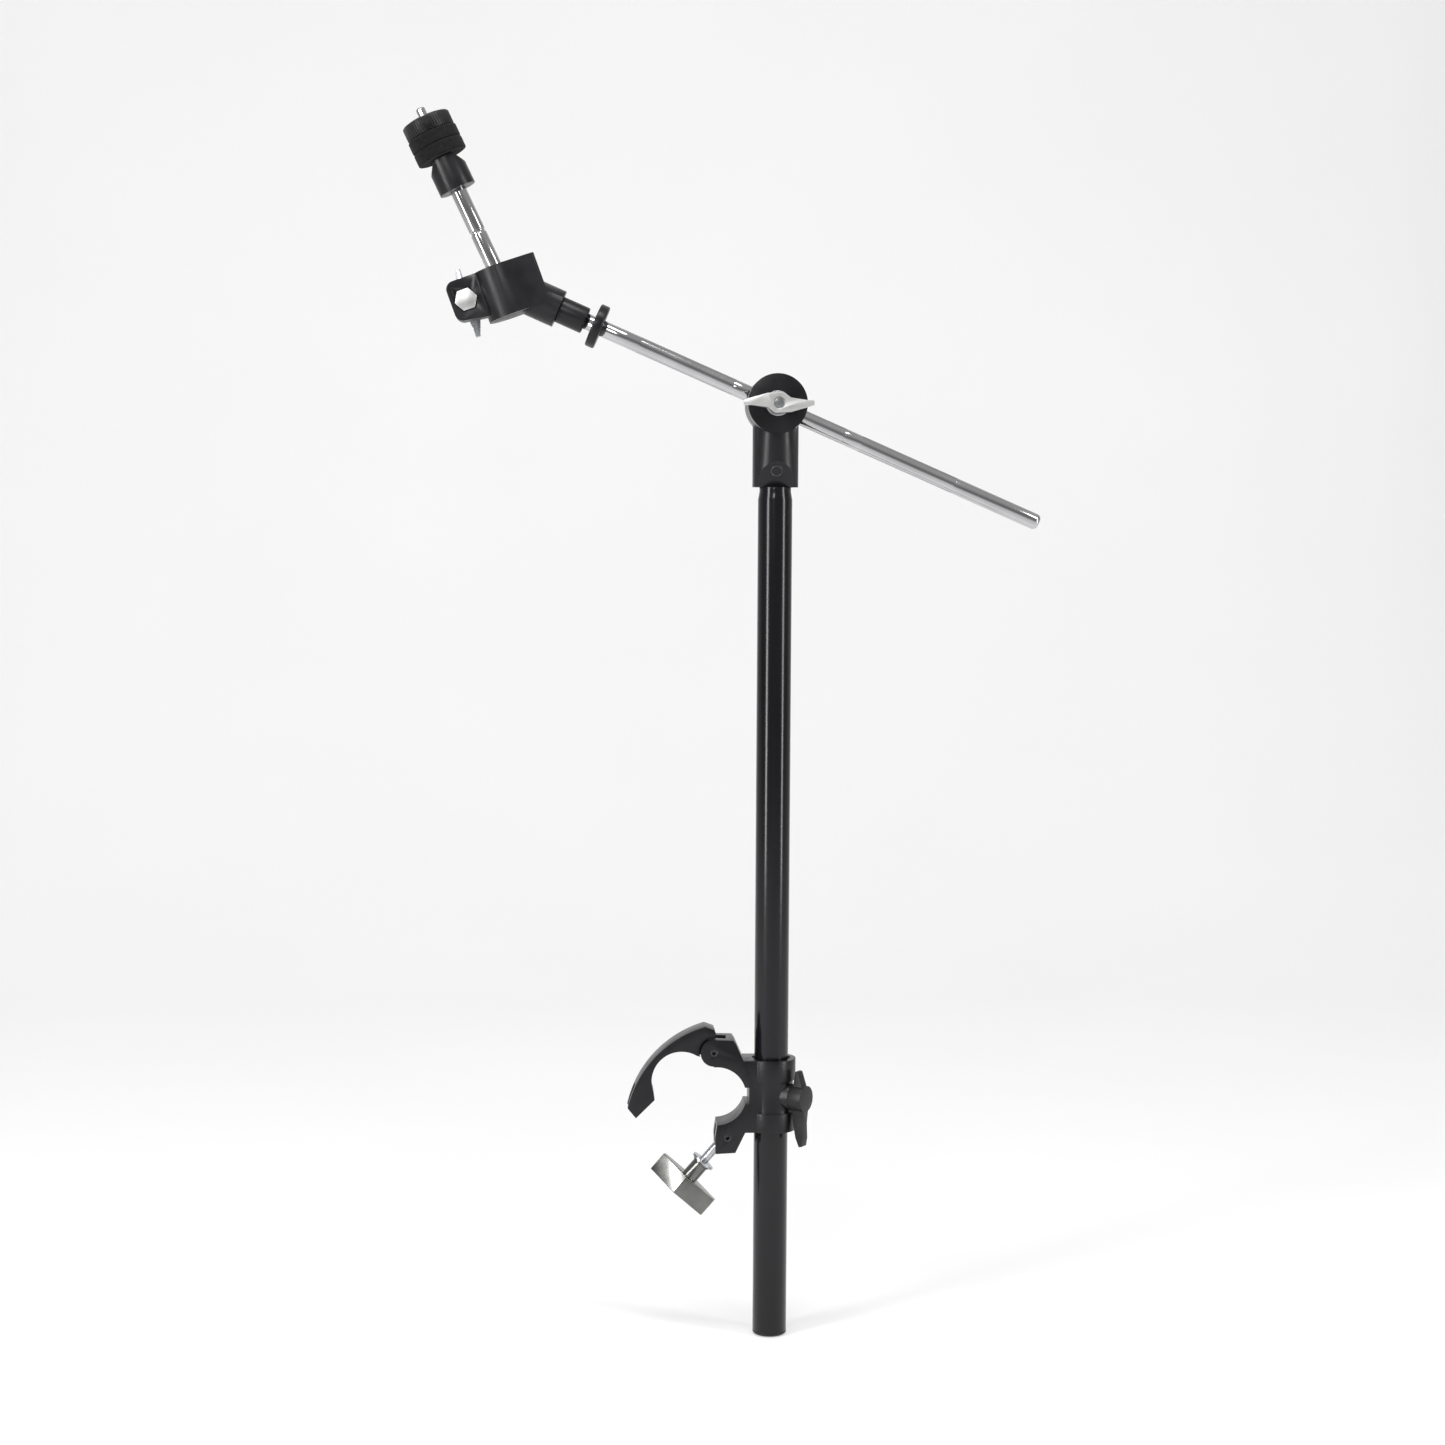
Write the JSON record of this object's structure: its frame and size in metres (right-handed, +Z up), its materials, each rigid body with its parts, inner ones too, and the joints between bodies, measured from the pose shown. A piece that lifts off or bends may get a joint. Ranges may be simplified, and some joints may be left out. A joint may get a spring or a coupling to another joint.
{
  "type": "cymbal boom arm",
  "caption": "Cymbal boom arm: hinged clamp for a round rack tube, sliding pipe, tilter, knurled boom rod and a ball clamp with a felted cymbal rod.",
  "frame": {"origin": "centre of the rack tube's bore in the clamp", "axes": "+Y along the rack tube, +Z up along the pipe, +X from the rack tube to the pipe"},
  "size_m": [0.4121, 0.0628, 0.7945],
  "materials": {
    "cast_black": "satin black casting",
    "pipe_black": "satin black powder coat",
    "chrome": "bright chrome plate",
    "knurled_chrome": "bright chrome plate with knurled bands",
    "nickel": "satin nickel plated casting",
    "steel": "zinc plated steel",
    "black_plastic": "matt black moulding",
    "nylon": "dark grey nylon",
    "felt": "black wool felt"
  },
  "bodies": {
    "clamp": {"clamp_body": "cast_black", "jaw_hinge_pin": "steel", "swing_bolt_pin": "steel", "sleeve_insert": "steel"},
    "jaw": {"clamp_jaw": "cast_black"},
    "bolt": {"swing_bolt": "steel"},
    "bolt_washer": {"knob_washer": "steel"},
    "knob": {"clamp_knob": "nickel"},
    "liner": {"pipe_liner": "nylon"},
    "sleeve_wing": {"sleeve_stud": "steel", "sleeve_wing": "black_plastic", "pressure_pad": "nylon"},
    "pipe": {"main_pipe": "pipe_black", "pipe_end_plug": "black_plastic", "tilter_socket": "cast_black", "socket_ring": "cast_black"},
    "tilter": {"boom_holder": "cast_black", "tilter_eye_bolt": "steel"},
    "tilter_nut": {"tilter_wing_nut": "nickel", "tilter_washer": "steel"},
    "bush": {"split_bush": "nylon"},
    "boom": {"boom_rod": "knurled_chrome", "rod_stop_pin": "steel", "boom_coupling": "cast_black"},
    "lock_ring": {"boom_lock_ring": "cast_black"},
    "head": {"ball_clamp": "cast_black", "draw_bolt": "steel", "ball_clamp_plug": "black_plastic"},
    "head_nut": {"draw_wing_nut": "nickel", "draw_washer": "steel"},
    "seat": {"ball_seat": "nylon"},
    "cymbal_arm": {"pivot_ball": "chrome", "cymbal_rod": "chrome", "cymbal_stopper": "cast_black", "stopper_set_screw": "steel", "cymbal_sleeve": "nylon", "lower_felt": "felt"},
    "top_felt": {"upper_felt": "felt"},
    "top_nut": {"cymbal_nut": "black_plastic", "nut_core": "steel"}
  },
  "joints": [
    {"name": "jaw_hinge", "type": "hinge", "parent": "clamp", "child": "jaw", "pos_m": [-0.002, 0, 0.0282], "axis": [0, -1, 0], "range_deg": [0, 50]},
    {"name": "bolt_swing", "type": "hinge", "parent": "clamp", "child": "bolt", "pos_m": [0.0072, 0, -0.0278], "axis": [0, 1, 0], "range_deg": [-8, 38]},
    {"name": "knob_travel", "type": "slide", "parent": "bolt", "child": "bolt_washer", "axis": [-0.6547, 0, -0.7559], "range_m": [-0.0025, 0.002]},
    {"name": "knob_turn", "type": "hinge", "parent": "bolt_washer", "child": "knob", "pos_m": [0.0072, 0, -0.0278], "axis": [-0.6547, 0, -0.7559], "range_deg": [-900, 720]},
    {"name": "pipe_turn", "type": "hinge", "parent": "clamp", "child": "liner", "pos_m": [0.036, 0, 0], "axis": [0, 0, 1], "continuous": true},
    {"name": "pipe_slide", "type": "slide", "parent": "liner", "child": "pipe", "axis": [0, 0, 1], "range_m": [-0.34, 0.13]},
    {"name": "sleeve_wing_turn", "type": "hinge", "parent": "clamp", "child": "sleeve_wing", "pos_m": [0.036, 0, -0.0015], "axis": [0.8192, -0.5736, 0], "range_deg": [-180, 180]},
    {"name": "boom_tilt", "type": "hinge", "parent": "pipe", "child": "tilter", "pos_m": [0.036, 0, 0.4472], "axis": [0, 1, 0], "range_deg": [-60, 15]},
    {"name": "tilter_wing_turn", "type": "hinge", "parent": "pipe", "child": "tilter_nut", "pos_m": [0.036, 0, 0.4472], "axis": [0, 1, 0], "range_deg": [0, 360]},
    {"name": "rod_roll", "type": "hinge", "parent": "tilter", "child": "bush", "pos_m": [0.036, 0.008, 0.4472], "axis": [0.9178, 0, -0.3971], "continuous": true},
    {"name": "rod_slide", "type": "slide", "parent": "bush", "child": "boom", "axis": [0.9178, 0, -0.3971], "range_m": [-0.16, 0.09]},
    {"name": "lock_ring_turn", "type": "hinge", "parent": "boom", "child": "lock_ring", "pos_m": [0.036, 0.008, 0.4472], "axis": [0.9178, 0, -0.3971], "continuous": true},
    {"name": "head_roll", "type": "hinge", "parent": "boom", "child": "head", "pos_m": [0.036, 0.008, 0.4472], "axis": [0.9178, 0, -0.3971], "continuous": true},
    {"name": "head_wing_turn", "type": "hinge", "parent": "head", "child": "head_nut", "pos_m": [-0.1622, 0.008, 0.51228], "axis": [0, 1, 0], "range_deg": [0, 360]},
    {"name": "rod_swivel", "type": "hinge", "parent": "head", "child": "seat", "pos_m": [-0.13728, 0.008, 0.51837], "axis": [-0.342, 0, 0.9397], "continuous": true},
    {"name": "rod_tilt", "type": "hinge", "parent": "seat", "child": "cymbal_arm", "pos_m": [-0.13728, 0.008, 0.51837], "axis": [0, 1, 0], "range_deg": [-10, 20]},
    {"name": "felt_travel", "type": "slide", "parent": "cymbal_arm", "child": "top_felt", "axis": [-0.4289, 0, 0.9033], "range_m": [0, 0.003]},
    {"name": "cymbal_nut_turn", "type": "hinge", "parent": "top_felt", "child": "top_nut", "pos_m": [-0.13728, 0.008, 0.51837], "axis": [-0.4289, 0, 0.9033], "range_deg": [0, 1080]}
  ],
  "couplings": [
    {"joint": "knob_travel", "follows": "knob_turn", "m_per_rad": 0.00015915},
    {"joint": "felt_travel", "follows": "cymbal_nut_turn", "m_per_rad": 0.00015915}
  ]
}
